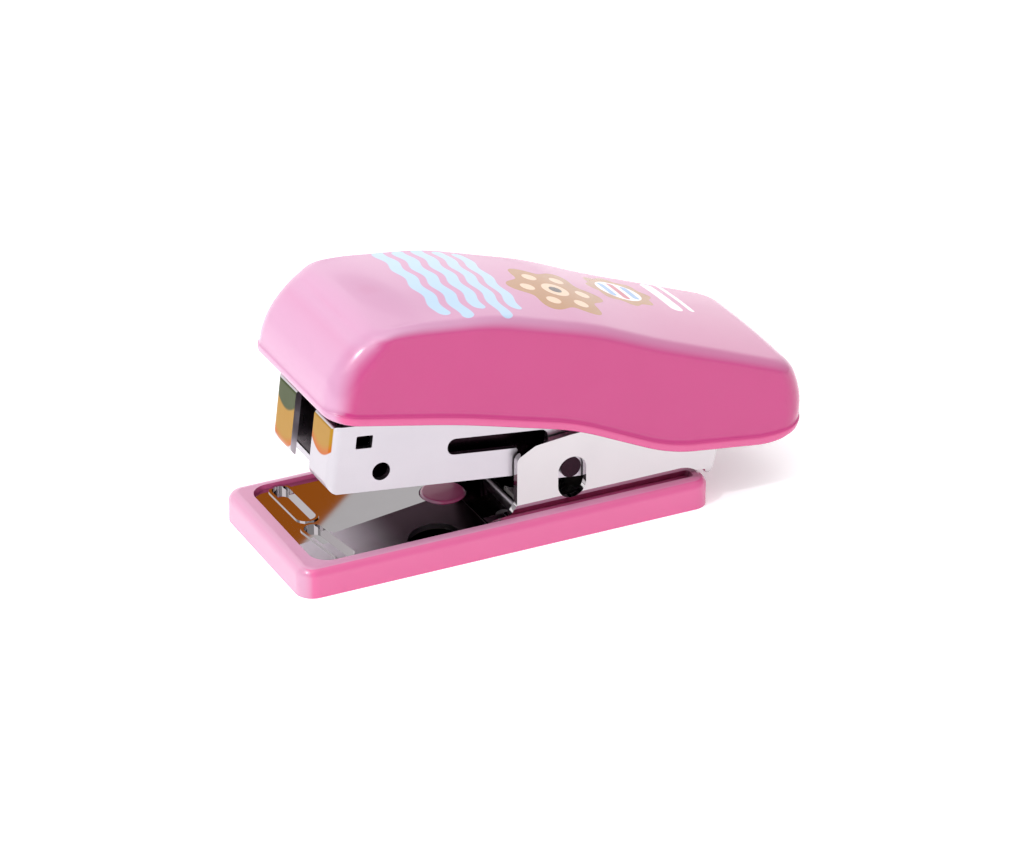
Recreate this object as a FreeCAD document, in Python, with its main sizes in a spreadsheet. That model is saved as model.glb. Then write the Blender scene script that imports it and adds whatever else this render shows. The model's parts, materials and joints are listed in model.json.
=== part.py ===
"""Mini desk stapler for 24/6 staples, as a parametric FreeCAD document.

Row frame: the origin is the centre of the base's underside, +X points to the hinge end,
+Y across the stapler and +Z up. Pieces that turn on the rear pin are drawn level, with the
pin's axis as their origin, and are then placed on the pin at their resting tilt.
"""
import FreeCAD, Part
import math
import os
import re

import Sketcher

DIMENSIONS = {
    # moulded base
    "base_length": 49.2,
    "base_width": 21.5,
    "base_height": 3.4,
    "base_corner": 2.0,
    "base_round": 1.1,
    "front_rim": 2.3,
    "rear_rim": 1.5,
    "recess_half": 9.3,
    "recess_floor": 2.1,
    "recess_rear_corner": 0.5,
    "underside_depth": 1.0,
    "underside_wall": 1.6,
    "underside_corner": 0.6,
    "stake_x": -3.1,
    "stake_radius": 2.5,
    "stake_top": 3.15,
    "stake_round": 0.3,
    # chromed base plate with its ears
    "plate_thick": 0.8,
    "plate_front": -22.1,
    "plate_back": -0.1,
    "plate_half": 9.2,
    "plate_corner": 2.2,
    "ear_half": 8.5,
    "ear_bend": 1.5,
    "ear_foot": -1.6,
    "ear_front": 1.8,
    "ear_top": 12.0,
    "ear_back": 26.2,
    "slot_x": 8.45,
    "slot_low": 3.82,
    "slot_high": 8.74,
    "slot_width": 3.4,
    "clinch_x": -18.8,
    "clinch_length": 8.4,
    "clinch_width": 2.0,
    "clinch_rim": 0.35,
    "clinch_rise": 0.15,
    "clinch_depth": 0.5,
    "clinch_y": 4.7,
    "far_skew": 1.5,
    "near_skew": 8.5,
    "tongue_half": 6.9,
    # hinge
    "hinge_x": 22.6,
    "hinge_z": 9.0,
    "magazine_tilt": 6.9,
    "cover_tilt": 13.7,
    "pin_radius": 1.1,
    "pin_clear": 0.05,
    "pin_half": 9.22,
    "pin_head_radius": 1.6,
    "pin_head_thick": 0.23,
    "sleeve_radius": 2.0,
    "sleeve_hole_radius": 1.4,
    # pressed magazine
    "channel_half": 7.45,
    "channel_wall": 0.7,
    "channel_front": -42.6,
    "channel_bottom": -4.0,
    "channel_top": 3.9,
    "nose_gap_half": 2.4,
    "nose_corner": 1.0,
    "window_front": -39.85,
    "window_back": -37.93,
    "window_low": 1.18,
    "window_high": 2.67,
    "window_corner": 0.15,
    "round_hole_x": -36.5,
    "round_hole_z": -1.75,
    "round_hole_radius": 1.05,
    "floor_hole_x": -26.5,
    "floor_hole_radius": 2.9,
    "exit_back": -40.9,
    "floor_back": -16.2,
    "strip_end": -20.3,
    "slot_front": -28.85,
    "slot_end": -16.8,
    "wall_slot_low": -0.7,
    "wall_slot_high": 1.2,
    "stud_x": -14.02,
    "stud_z": -3.21,
    "stud_radius": 1.2,
    "stud_end": 8.45,
    "stud_head_radius": 1.6,
    "stud_head_thick": 0.3,
    # rail, pusher and their spring
    "rail_half": 5.7,
    "rail_wall": 0.6,
    "rail_top": 2.3,
    "rail_front": -40.8,
    "rail_back": -8.0,
    "rail_round": 0.7,
    "run_front": -35.4,
    "run_back": -9.6,
    "run_half": 1.1,
    "run_corner": 0.9,
    "rod_z": -0.6,
    "rod_radius": 0.6,
    "rod_back": -7.0,
    "clip_radius": 1.3,
    "clip_thick": 0.4,
    "pusher_front": -40.7,
    "pusher_length": 7.0,
    "pusher_half": 6.45,
    "pusher_wall": 0.55,
    "pusher_top": 3.0,
    "pusher_low": -1.2,
    "lug_low": -1.7,
    "lug_clear": 0.08,
    "saddle_cut": 3.3,
    "lug_thick": 1.2,
    "lug_half": 0.85,
    "spring_radius": 1.2,
    "spring_wire": 0.3,
    "spring_turns": 16,
    "front_rivet_x": -36.6,
    "rear_rivet_x": -18.0,
    "rivet_radius": 0.8,
    "rivet_head": 1.3,
    "rivet_head_thick": 0.4,
    "rivet_pair_y": 3.0,
    "blade_rivet_x": -38.6,
    "lift_rivet_x": -10.0,
    "return_rivet_x": 17.5,
    "rivet_hole_depth": 3.0,
    # moulded cover
    "cover_front": -44.7,
    "cover_front_low": 0.6,
    "cover_back": 13.0,
    "cover_back_low": 1.2,
    "cover_half": 11.0,
    "cover_lean": 0.093,
    "cover_round": 1.5,
    "lip_proud": 0.18,
    "lip_height": 0.95,
    "lip_drop": 0.06,
    "cavity_half": 9.6,
    "cavity_upper_half": 8.9,
    "rib_half": 0.6,
    "rib_top": 9.9,
    # driver carrier, blade and lift spring
    "carrier_half": 9.2,
    "carrier_wall": 0.6,
    "carrier_top": 6.6,
    "carrier_front": -40.8,
    "carrier_round": 1.2,
    "blade_x": -41.3,
    "blade_thick": 0.5,
    "blade_half": 6.3,
    "blade_low": -1.6,
    "blade_back": -36.2,
    "leaf_thick": 0.4,
    "leaf_half": 7.3,
    "return_leaf_half": 3.0,
    "return_peak_x": 7.3,
    "return_peak_z": 6.65,
}
THROUGH = "100"
RIB_PLACES = ("-36", "-24", "-12")
NAMES = re.compile(r"[A-Za-z_]\w*")

document = FreeCAD.newDocument("MiniStapler")
sheet = document.addObject("Spreadsheet::Sheet", "Dims")
pieces = []


def fill_sheet():
    """Write each driving dimension beside its name and give its cell an alias."""
    for row, (name, value) in enumerate(DIMENSIONS.items(), start=1):
        sheet.set("A%d" % row, name)
        sheet.set("B%d" % row, str(value))
        sheet.setAlias("B%d" % row, name)
    document.recompute()


def bound(text):
    """Turn 'base_width / 2' into an expression on the sheet's cells."""
    def cell(word):
        name = word.group()
        return "Dims." + name if name in DIMENSIONS else name
    return NAMES.sub(cell, str(text))


def value(text):
    """The number that such an expression has now."""
    return float(sheet.evalExpression(bound(text)))


def place(piece, frame):
    """Seat a piece in the row frame, or on the pin at the magazine's or the cover's tilt."""
    if frame == "row":
        return
    piece.Placement = FreeCAD.Placement(FreeCAD.Vector(), FreeCAD.Rotation(FreeCAD.Vector(0, 1, 0), 1))
    piece.setExpression(".Placement.Base.x", bound("hinge_x"))
    piece.setExpression(".Placement.Base.z", bound("hinge_z"))
    piece.setExpression(".Placement.Rotation.Angle", bound(frame))


def new_body(label, frame):
    """An empty body for one sub-part, in its frame."""
    body = document.addObject("PartDesign::Body", "Body_" + label)
    body.Label = label
    place(body, frame)
    pieces.append(body)
    return body


def new_sketch(body, role, offset="0"):
    """A sketch on one of the body's own origin planes, moved along the plane's normal."""
    plane = next(item for item in body.Origin.OriginFeatures if item.Role == role)
    sketch = body.newObject("Sketcher::SketchObject", "Sketch")
    sketch.AttachmentSupport = [(plane, "")]
    sketch.MapMode = "FlatFace"
    sketch.setExpression(".AttachmentOffset.Base.z", bound(offset))
    return sketch


class Holds:
    """The constraints of one sketch, gathered so that the sketch is solved once."""

    def __init__(self, sketch):
        self.sketch = sketch
        self.plain = []
        self.named = []

    def join(self, kind, *ends):
        """A constraint with no number, such as a tangency."""
        self.plain.append(Sketcher.Constraint(kind, *ends))

    def size(self, kind, ends, text):
        """A constraint whose number comes from the sheet."""
        self.named.append((Sketcher.Constraint(kind, *ends, value(text)), text))

    def point(self, geometry, end, across, along):
        """Hold one point at two named distances from the sketch's origin."""
        self.size("DistanceX", (-1, 1, geometry, end), across)
        self.size("DistanceY", (-1, 1, geometry, end), along)

    def apply(self):
        """Add everything to the sketch and bind the numbers."""
        first = self.sketch.ConstraintCount
        self.sketch.addConstraint([constraint for constraint, text in self.named] + self.plain)
        for number, (constraint, text) in enumerate(self.named, start=first):
            self.sketch.setExpression("Constraints[%d]" % number, bound(text))


def corner_cut(before, corner, after, radius):
    """Where a fillet of this radius leaves the two sides of a corner, and its middle point."""
    back = (before - corner).normalize()
    on = (after - corner).normalize()
    half = back.getAngle(on) / 2
    reach = radius / math.tan(half)
    bisector = (back + on).normalize()
    middle = corner + bisector * (radius / math.sin(half) - radius)
    return corner + back * reach, middle, corner + on * reach


def outline(sketch, corners):
    """A closed outline through corners (x, y) or (x, y, radius), each held by the sheet."""
    points = [FreeCAD.Vector(value(corner[0]), value(corner[1]), 0) for corner in corners]
    starts = []
    ends = []
    arcs = []
    for number, corner in enumerate(corners):
        point = points[number]
        if len(corner) == 2:
            starts.append(point)
            ends.append(point)
            arcs.append(None)
            continue
        after = points[(number + 1) % len(points)]
        cut = corner_cut(points[number - 1], point, after, value(corner[2]))
        arcs.append(sketch.addGeometry(Part.Arc(*cut)))
        ends.append(cut[0])
        starts.append(cut[2])
    sides = []
    for number in range(len(corners)):
        following = (number + 1) % len(corners)
        sides.append(sketch.addGeometry(Part.LineSegment(starts[number], ends[following])))
    holds = Holds(sketch)
    for number, corner in enumerate(corners):
        side_in = sides[number - 1]
        side_out = sides[number]
        if arcs[number] is None:
            holds.join("Coincident", side_in, 2, side_out, 1)
            holds.point(side_out, 1, corner[0], corner[1])
            continue
        anchor = sketch.addGeometry(Part.Point(points[number]), True)
        holds.point(anchor, 1, corner[0], corner[1])
        holds.join("PointOnObject", anchor, 1, side_in)
        holds.join("PointOnObject", anchor, 1, side_out)
        near_start = sketch.getPoint(arcs[number], 1).distanceToPoint(ends[number]) < 1e-6
        first_end = 1 if near_start else 2
        holds.join("Tangent", side_in, 2, arcs[number], first_end)
        holds.join("Tangent", arcs[number], 3 - first_end, side_out, 1)
        holds.size("Radius", (arcs[number],), corner[2])
    holds.apply()


def rectangle(sketch, low_x, high_x, low_y, high_y, radius=None):
    """A rectangle between two pairs of named limits, with rounded corners if asked."""
    rounding = () if radius is None else (radius,)
    corners = [(low_x, low_y), (high_x, low_y), (high_x, high_y), (low_x, high_y)]
    outline(sketch, [corner + rounding for corner in corners])


def circle(sketch, across, along, radius):
    """A circle held by its centre and radius."""
    centre = FreeCAD.Vector(value(across), value(along), 0)
    index = sketch.addGeometry(Part.Circle(centre, FreeCAD.Vector(0, 0, 1), value(radius)))
    holds = Holds(sketch)
    holds.point(index, 3, across, along)
    holds.size("Radius", (index,), radius)
    holds.apply()


def grow(body, sketch, length, symmetric=False, back=False):
    """Pad a sketch."""
    feature = body.newObject("PartDesign::Pad", "Pad")
    feature.Profile = sketch
    feature.SideType = "Symmetric" if symmetric else "One side"
    feature.Reversed = back
    feature.setExpression("Length", bound(length))
    document.recompute()


def cut(body, sketch, length, symmetric=False, back=False):
    """Pocket a sketch, and stop if nothing was removed."""
    before = body.Shape.Volume
    feature = body.newObject("PartDesign::Pocket", "Pocket")
    feature.Profile = sketch
    feature.SideType = "Symmetric" if symmetric else "One side"
    feature.Reversed = back
    feature.setExpression("Length", bound(length))
    document.recompute()
    if body.Shape.Volume > before - 1e-6:
        raise RuntimeError("a pocket of %s removed nothing" % body.Label)


def edges_of(body, chosen):
    """Names of the edges of a body's tip that a test picks out."""
    return ["Edge%d" % number for number, edge in enumerate(body.Tip.Shape.Edges, start=1) if chosen(edge)]


def soften(body, radius, chosen):
    """Fillet the edges that a test picks out."""
    names = edges_of(body, chosen)
    if not names:
        raise RuntimeError("no edge to round on %s" % body.Label)
    base = body.Tip
    feature = body.newObject("PartDesign::Fillet", "Fillet")
    feature.Base = (base, names)
    feature.setExpression("Radius", bound(radius))
    document.recompute()


def level_edge(edge, height):
    """Whether an edge lies wholly at one height."""
    box = edge.BoundBox
    return abs(box.ZMin - height) < 1e-4 and abs(box.ZMax - height) < 1e-4


def fore_and_aft_edge(edge):
    """Whether an edge is a line along X."""
    box = edge.BoundBox
    return box.XLength > 0.2 and box.YLength < 1e-4 and box.ZLength < 1e-4


def base_tray():
    """Moulded tray: rounded block, recess for the plate, ribbed underside, centre stake."""
    body = new_body("base_tray", "row")
    plan = new_sketch(body, "XY_Plane")
    rectangle(plan, "-base_length / 2", "base_length / 2", "-base_width / 2", "base_width / 2", "base_corner")
    grow(body, plan, "base_height")
    soften(body, "base_round", lambda edge: level_edge(edge, value("base_height")))
    recess = new_sketch(body, "XY_Plane", "base_height")
    front = "front_rim - base_length / 2"
    back = "base_length / 2 - rear_rim"
    outline(recess, [
        (front, "-recess_half", "plate_corner"), (back, "-recess_half", "recess_rear_corner"),
        (back, "recess_half", "recess_rear_corner"), (front, "recess_half", "plate_corner")])
    cut(body, recess, "base_height - recess_floor")
    hollows = new_sketch(body, "XY_Plane")
    span = "(base_length / 2 - underside_wall)"
    for column in range(4):
        low = "%s * %g + underside_wall / 2" % (span, column / 2 - 1)
        high = "%s * %g - underside_wall / 2" % (span, (column + 1) / 2 - 1)
        reach = "base_width / 2 - underside_wall"
        rectangle(hollows, low, high, "underside_wall / 2", reach, "underside_corner")
        rectangle(hollows, low, high, "-(%s)" % reach, "-underside_wall / 2", "underside_corner")
    cut(body, hollows, "underside_depth", back=True)
    stake = new_sketch(body, "XY_Plane", "recess_floor")
    circle(stake, "stake_x", "0", "stake_radius")
    grow(body, stake, "stake_top - recess_floor")
    soften(body, "stake_round", lambda edge: level_edge(edge, value("stake_top")))


def clinch_pocket(body, side, skew):
    """One pocket that turns a staple's leg: a coined oval rim with a hollow in it."""
    centre = FreeCAD.Vector(value("clinch_x"), side * value("clinch_y"), 0)
    for height, half_width, half_length, length, hollow in (
        ("recess_floor + plate_thick", "clinch_width / 2 + clinch_rim", "clinch_length / 2 + clinch_rim",
         "clinch_rise", False),
        ("recess_floor + plate_thick + clinch_rise", "clinch_width / 2", "clinch_length / 2",
         "clinch_depth + clinch_rise", True),
    ):
        oval = new_sketch(body, "XY_Plane", height)
        oval.AttachmentOffset = FreeCAD.Placement(centre, FreeCAD.Rotation(FreeCAD.Vector(0, 0, 1), skew))
        oval.setExpression(".AttachmentOffset.Base.z", bound(height))
        near = "(%s)" % half_width
        far = "(%s)" % half_length
        rectangle(oval, "-" + near, near, "-" + far, far, near + " * 0.98")
        if hollow:
            cut(body, oval, length)
        else:
            grow(body, oval, length)


def base_plate():
    """Chromed stamping: anvil plate at the front, side ears folded up at the hinge."""
    body = new_body("base_plate", "row")
    top = "recess_floor + plate_thick"
    side = new_sketch(body, "XZ_Plane")
    outline(side, [
        ("ear_foot", "recess_floor"), ("ear_foot", top), ("ear_front - 0.7", "3.4", "0.6"),
        ("ear_front", "4.3", "0.4"), ("ear_front", "9.9", "0.9"), ("ear_front + 2.2", "11.1", "1.5"),
        ("ear_front + 6.4", "11.5", "6"), ("hinge_x", "ear_top", "12"), ("ear_back - 0.2", "ear_top", "2.5"),
        ("ear_back", "5.3", "1.2"), ("ear_back - 0.6", "2.9", "0.3"), ("25.0", "2.8", "0.2"),
        ("24.85", "3.5", "0.2"), ("22.8", "3.5"), ("22.8", "recess_floor")])
    grow(body, side, "2 * ear_half", symmetric=True)
    inside = new_sketch(body, "YZ_Plane", "ear_foot - 1")
    reach = "ear_half - plate_thick"
    outline(inside, [
        ("-(%s)" % reach, top, "ear_bend - plate_thick"), (reach, top, "ear_bend - plate_thick"),
        (reach, "ear_top + 1"), ("-(%s)" % reach, "ear_top + 1")])
    cut(body, inside, THROUGH, back=True)
    low = value("recess_floor")
    soften(body, "ear_bend", lambda edge: fore_and_aft_edge(edge) and level_edge(edge, low))
    plan = new_sketch(body, "XY_Plane", "recess_floor")
    outline(plan, [
        ("plate_front", "-plate_half", "plate_corner"), ("plate_back", "-plate_half", "0.8"),
        ("plate_back", "-tongue_half", "0.5"), ("ear_front + 1", "-tongue_half"),
        ("ear_front + 1", "tongue_half"), ("plate_back", "tongue_half", "0.5"),
        ("plate_back", "plate_half", "0.8"),
        ("plate_front", "plate_half", "plate_corner")])
    grow(body, plan, "plate_thick")
    clinch_pocket(body, 1, value("far_skew"))
    clinch_pocket(body, -1, value("near_skew"))
    holes = new_sketch(body, "XY_Plane", top + " + 1")
    circle(holes, "stake_x", "0", "stake_radius + 0.1")
    circle(holes, "return_rivet_x", "0", "rivet_radius")
    cut(body, holes, "plate_thick + 1.5")
    bores = new_sketch(body, "XZ_Plane")
    rectangle(bores, "slot_x - slot_width / 2", "slot_x + slot_width / 2", "slot_low", "slot_high", "1.65")
    circle(bores, "hinge_x", "hinge_z", "pin_radius")
    cut(body, bores, THROUGH, symmetric=True)


def cross_pin(label, frame, centre, radius, half, head_radius, head_thick):
    """A pin across the stapler with a flat head riveted over at each end."""
    body = new_body(label, frame)
    shank = new_sketch(body, "XZ_Plane")
    circle(shank, centre[0], centre[1], radius)
    grow(body, shank, "2 * (%s)" % half, symmetric=True)
    for offset, back in ((half, False), ("-(%s)" % half, True)):
        head = new_sketch(body, "XZ_Plane", offset)
        circle(head, centre[0], centre[1], head_radius)
        grow(body, head, head_thick, back=back)


def hinge_sleeve():
    """Spacer tube between the channel's walls, running on the pin."""
    body = new_body("hinge_sleeve", "magazine_tilt")
    ring = new_sketch(body, "XZ_Plane")
    circle(ring, "0", "0", "sleeve_radius")
    circle(ring, "0", "0", "pin_radius + pin_clear")
    grow(body, ring, "2 * (channel_half - channel_wall)", symmetric=True)


def bent_leaf(label, frame, half, corners):
    """A flat spring: a bent strip drawn in side view and given its width."""
    body = new_body(label, frame)
    side = new_sketch(body, "XZ_Plane")
    outline(side, corners)
    grow(body, side, "2 * (%s)" % half, symmetric=True)
    return body


def return_spring():
    """Leaf on the plate that lifts the magazine; its free end bears under the channel floor."""
    seat = "recess_floor + plate_thick"
    body = bent_leaf("return_spring", "row", "return_leaf_half", [
        ("return_rivet_x + 2", seat), ("return_rivet_x + 2", seat + " + leaf_thick"),
        ("14.8", seat + " + leaf_thick", "3"), ("return_peak_x", "return_peak_z", "1.5"),
        ("return_peak_x - 1.5", "return_peak_z - 0.65"),
        ("return_peak_x - 1.4", "return_peak_z - 0.65 - leaf_thick"),
        ("return_peak_x", "return_peak_z - leaf_thick * 1.1", "1"), ("14.7", seat, "3.4")])
    hole = new_sketch(body, "XY_Plane", seat + " + 2")
    circle(hole, "return_rivet_x", "0", "rivet_radius")
    cut(body, hole, "rivet_hole_depth")


def upright_rivet(label, frame, places, low, seat):
    """Rivets with upright shanks, one solid at each place, sharing one node."""
    solids = []
    for number, (across, along) in enumerate(places):
        shank = document.addObject("Part::Cylinder", "Shank")
        head = document.addObject("Part::Cylinder", "Head")
        shank.setExpression("Radius", bound("rivet_radius"))
        head.setExpression("Radius", bound("rivet_head"))
        shank.setExpression("Height", bound("%s - (%s)" % (seat, low)))
        head.setExpression("Height", bound("rivet_head_thick"))
        for part, height in ((shank, low), (head, seat)):
            part.setExpression(".Placement.Base.x", bound(across))
            part.setExpression(".Placement.Base.y", bound(along))
            part.setExpression(".Placement.Base.z", bound(height))
        solid = document.addObject("Part::Fuse", "Rivet")
        solid.Base = shank
        solid.Tool = head
        solids.append(solid)
    group = document.addObject("Part::Compound", "Group_" + label)
    group.Links = solids
    group.Label = label
    place(group, frame)
    pieces.append(group)


def channel_side(body):
    """The channel's side view: staple strip, gap ahead of the ear, and the lug round the pin."""
    side = new_sketch(body, "XZ_Plane")
    outline(side, [
        ("channel_front", "channel_bottom", "1.3"), ("strip_end", "channel_bottom", "0.3"),
        ("strip_end", "wall_slot_low", "0.3"), ("slot_front", "wall_slot_low", "0.9"),
        ("slot_front", "wall_slot_high", "0.9"), ("slot_end", "wall_slot_high", "0.9"),
        ("slot_end", "channel_bottom - 0.9", "0.6"), ("-10.6", "channel_bottom - 0.9", "1.5"),
        ("-3.0", "-2.9", "3"), ("2.9", "-2.9", "2.6"), ("2.9", "2.9", "2.6"), ("-6.0", "channel_top", "6"),
        ("channel_front", "channel_top", "0.6")])
    grow(body, side, "2 * channel_half", symmetric=True)


def magazine_channel():
    """Pressed channel that guides the staples, with inturned flanges across the nose."""
    body = new_body("magazine_channel", "magazine_tilt")
    channel_side(body)
    round_nose(body)
    hollow = new_sketch(body, "XY_Plane", "channel_top + 1")
    reach = "channel_half - channel_wall"
    rectangle(hollow, "channel_front + channel_wall", "10", "-(%s)" % reach, reach)
    cut(body, hollow, "channel_top + 1 - (channel_bottom + channel_wall)")
    cut_floor(body)
    cut_walls(body)


def round_nose(body):
    """Round the two front corners of the channel where its flanges are folded in."""
    plan = new_sketch(body, "XY_Plane", "channel_top + 1")
    back = "channel_front + nose_corner + 0.05"
    inner = "(channel_half - nose_corner - 0.05)"
    for sign in ("", "-"):
        outline(plan, [
            (back, sign + "(channel_half + 0.5)"), (back, sign + "channel_half"),
            ("channel_front", sign + "channel_half", "nose_corner"), ("channel_front", sign + inner),
            ("channel_front - 0.5", sign + inner), ("channel_front - 0.5", sign + "(channel_half + 0.5)")])
    cut(body, plan, THROUGH)


def cut_floor(body):
    """Openings in the floor: the staples' way out, a round hole, and the end ahead of the studs."""
    reach = "channel_half - channel_wall"
    plan = new_sketch(body, "XY_Plane", "channel_bottom - 1")
    rectangle(plan, "channel_front + channel_wall", "exit_back", "-(%s)" % reach, reach)
    rectangle(plan, "floor_back", "10", "-(%s)" % reach, reach)
    circle(plan, "floor_hole_x", "0", "floor_hole_radius")
    circle(plan, "front_rivet_x", "0", "rivet_radius")
    circle(plan, "rear_rivet_x", "0", "rivet_radius")
    cut(body, plan, "channel_wall + 1.1", back=True)


def cut_walls(body):
    """Openings in the walls and the nose."""
    nose = new_sketch(body, "XY_Plane", "channel_bottom - 1")
    rectangle(nose, "channel_front - 1", "channel_front + channel_wall", "-nose_gap_half", "nose_gap_half")
    cut(body, nose, THROUGH, back=True)
    bores = new_sketch(body, "XZ_Plane")
    rectangle(bores, "window_front", "window_back", "window_low", "window_high", "window_corner")
    circle(bores, "round_hole_x", "round_hole_z", "round_hole_radius")
    circle(bores, "0", "0", "sleeve_hole_radius")
    circle(bores, "stud_x", "stud_z", "stud_radius")
    cut(body, bores, THROUGH, symmetric=True)


def staple_rail():
    """Inverted channel that the staples straddle, with an end tab at each end for the rod."""
    body = new_body("staple_rail", "magazine_tilt")
    plan = new_sketch(body, "XY_Plane", "channel_bottom + channel_wall")
    rectangle(plan, "rail_front", "rail_back", "-rail_half", "rail_half")
    grow(body, plan, "rail_top - channel_bottom - channel_wall")
    soften(body, "rail_round", lambda edge: fore_and_aft_edge(edge) and level_edge(edge, value("rail_top")))
    low = "channel_bottom + channel_wall"
    inside = new_sketch(body, "XY_Plane", low + " + rail_wall")
    front = "rail_front + rail_wall"
    back = "rail_back - rail_wall"
    rectangle(inside, front, back, "rail_wall - rail_half", "rail_half - rail_wall")
    cut(body, inside, "rail_top - channel_bottom - channel_wall - 2 * rail_wall", back=True)
    window = new_sketch(body, "XY_Plane", low + " - 1")
    rectangle(window, "-33.5", "-19.6", "rail_wall - rail_half", "rail_half - rail_wall")
    rectangle(window, "floor_back", "rail_back + 1", "-rail_half - 1", "rail_half + 1")
    circle(window, "front_rivet_x", "0", "rivet_radius")
    circle(window, "rear_rivet_x", "0", "rivet_radius")
    cut(body, window, "rail_wall + 1.4", back=True)
    run = new_sketch(body, "XY_Plane", "rail_top + 1")
    rectangle(run, "run_front", "run_back", "-run_half", "run_half", "run_corner")
    cut(body, run, "rail_wall + 1.2")
    bore = new_sketch(body, "YZ_Plane", "rail_front - 1")
    circle(bore, "0", "rod_z", "rod_radius")
    cut(body, bore, THROUGH, back=True)


def guide_rod():
    """Rod through the rail's end tabs, with a groove at the rear for its clip."""
    body = new_body("guide_rod", "magazine_tilt")
    end = new_sketch(body, "YZ_Plane", "rail_front")
    circle(end, "0", "rod_z", "rod_radius")
    grow(body, end, "rod_back - rail_front")


def guide_rod_clip():
    """Push-on ring that keeps the rod in the rail's rear tab."""
    body = new_body("guide_rod_clip", "magazine_tilt")
    ring = new_sketch(body, "YZ_Plane", "rail_back")
    circle(ring, "0", "rod_z", "clip_radius")
    circle(ring, "0", "rod_z", "rod_radius")
    grow(body, ring, "clip_thick")


def pusher():
    """Folded saddle over the rail with a lug that runs on the rod."""
    body = new_body("pusher", "magazine_tilt")
    end = new_sketch(body, "YZ_Plane", "pusher_front")
    inner = "(pusher_half - pusher_wall)"
    top = "(pusher_top - pusher_wall)"
    outline(end, [
        ("-pusher_half", "pusher_low"), ("-" + inner, "pusher_low"), ("-" + inner, top, "0.7"),
        (inner, top, "0.7"), (inner, "pusher_low"), ("pusher_half", "pusher_low"),
        ("pusher_half", "pusher_top", "1.2"),
        ("-pusher_half", "pusher_top", "1.2")])
    grow(body, end, "pusher_length")
    lug = new_sketch(body, "YZ_Plane", "pusher_front + pusher_length - lug_thick")
    rectangle(lug, "-lug_half", "lug_half", "lug_low", top + " + 0.1")
    grow(body, lug, "lug_thick")
    bore = new_sketch(body, "YZ_Plane", "pusher_front + pusher_length - lug_thick - 1")
    circle(bore, "0", "rod_z", "rod_radius + lug_clear")
    cut(body, bore, "lug_thick + 2", back=True)
    clear_sides = new_sketch(body, "XZ_Plane")
    rectangle(clear_sides, "pusher_front - 1", "pusher_front + saddle_cut", "pusher_low - 1", top)
    cut(body, clear_sides, THROUGH, symmetric=True)


def pusher_spring():
    """Coil spring on the rod between the pusher's lug and the rail's rear tab."""
    start = value("pusher_front + pusher_length")
    length = value("rail_back - rail_wall") - start - value("spring_wire")
    radius = value("spring_radius")
    wire = value("spring_wire") / 2
    coil = Part.makeHelix(length / value("spring_turns"), length, radius)
    section = Part.Wire(Part.makeCircle(wire, FreeCAD.Vector(radius, 0, 0), FreeCAD.Vector(0, 1, 0)))
    solid = Part.Wire(coil).makePipeShell([section], True, True)
    upright_to_back = FreeCAD.Rotation(FreeCAD.Vector(0, 0, 1), FreeCAD.Vector(1, 0, 0))
    on_rod = FreeCAD.Placement(FreeCAD.Vector(start + wire, 0, value("rod_z")), upright_to_back)
    tilt = FreeCAD.Rotation(FreeCAD.Vector(0, 1, 0), value("magazine_tilt"))
    on_pin = FreeCAD.Placement(FreeCAD.Vector(value("hinge_x"), 0, value("hinge_z")), tilt)
    spring = document.addObject("Part::Feature", "Spring")
    spring.Shape = solid
    spring.Label = "pusher_spring"
    spring.Placement = on_pin.multiply(on_rod)
    pieces.append(spring)


def stop_studs():
    """Two shouldered studs, one in each wall, whose ends ride in the ears' slots."""
    body = new_body("stop_studs_blank", "magazine_tilt")
    pieces.remove(body)
    shank = new_sketch(body, "XZ_Plane")
    circle(shank, "stud_x", "stud_z", "stud_radius")
    grow(body, shank, "2 * stud_end", symmetric=True)
    reach = "(channel_half - channel_wall)"
    for offset, back in ((reach, True), ("-" + reach, False)):
        head = new_sketch(body, "XZ_Plane", offset)
        circle(head, "stud_x", "stud_z", "stud_head_radius")
        grow(body, head, "stud_head_thick", back=back)
    gap = document.addObject("Part::Box", "Gap")
    gap.setExpression("Length", bound("4 * stud_radius"))
    gap.setExpression("Height", bound("4 * stud_radius"))
    gap.setExpression("Width", bound("2 * (%s - stud_head_thick)" % reach))
    tilt = FreeCAD.Rotation(FreeCAD.Vector(0, 1, 0), value("magazine_tilt"))
    corner = FreeCAD.Vector(value("stud_x - 2 * stud_radius"), -value("%s - stud_head_thick" % reach),
                            value("stud_z - 2 * stud_radius"))
    hinge = FreeCAD.Vector(value("hinge_x"), 0, value("hinge_z"))
    gap.Placement = FreeCAD.Placement(hinge + tilt.multVec(corner), tilt)
    studs = document.addObject("Part::Cut", "Studs")
    studs.Base = body
    studs.Tool = gap
    studs.Label = "stop_studs"
    pieces.append(studs)


COVER_BOTTOM = [
    ("-30", "1.05", "150"), ("-15.5", "0.65", "45"), ("-3.6", "-1.85", "22"), ("10.5", "-0.4", "4")]
COVER_SIDE = [("cover_front", "cover_front_low")] + COVER_BOTTOM + [
    ("cover_back", "cover_back_low"), ("12.6", "3.6", "8"), ("10.3", "8.35", "2"),
    ("-7", "10.55", "50"), ("-15", "12.0", "50"), ("-27.5", "12.75", "45"), ("-38", "11.45", "14"),
    ("-42.6", "9.9", "1.8")]


def lip_outline():
    """Corners of the thin band along the cover's lower edge, a hair below the edge itself."""
    def moved(corner, rise):
        return (corner[0], "%s + %s" % (corner[1], rise)) + corner[2:]
    ends = [("cover_front - lip_proud", "cover_front_low"), ("cover_back + lip_proud", "cover_back_low")]
    path = [ends[0]] + COVER_BOTTOM + [ends[1]]
    lower = [moved(corner, "(-lip_drop)") for corner in path]
    return lower + [moved(corner, "lip_height") for corner in reversed(path)]


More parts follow.
